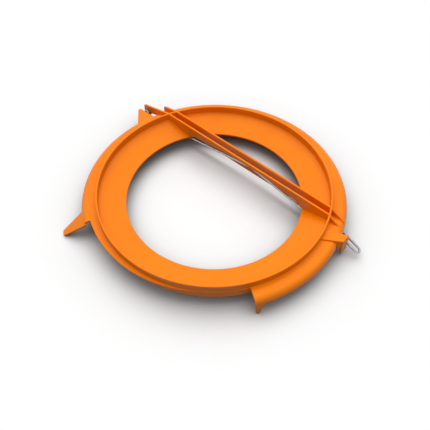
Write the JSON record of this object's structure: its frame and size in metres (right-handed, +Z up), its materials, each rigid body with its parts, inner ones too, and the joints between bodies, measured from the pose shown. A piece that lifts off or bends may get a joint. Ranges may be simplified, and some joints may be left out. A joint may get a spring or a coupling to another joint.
{
  "type": "blade transport guard",
  "caption": "Moulded ring guard for a round cutting blade, with a rolled rim, an off-centre cross-bar, pointed feet and a hinged spring wire clipped across it.",
  "frame": {"origin": "middle of the guard's box, on the surface it rests on", "axes": "+X along the cross-bar from the hinge to the catch, +Y to the side on which the bar lies, +Z up; the guard leans as it settles on a table"},
  "size_m": [0.277, 0.2466, 0.0305],
  "materials": {
    "guard_plastic": "satin moulded",
    "wire_steel": "bright drawn",
    "pin_steel": "plain"
  },
  "bodies": {
    "guard": {"guard_ring": "guard_plastic", "hinge_pin": "pin_steel"},
    "wire": {"spring_wire": "wire_steel"}
  },
  "joints": [
    {"name": "wire_swing", "type": "hinge", "parent": "guard", "child": "wire", "pos_m": [-0.1312, 0.03702, 0.00421], "axis": [0.0006, 0.9984, -0.056], "range_deg": [0, 110]}
  ]
}
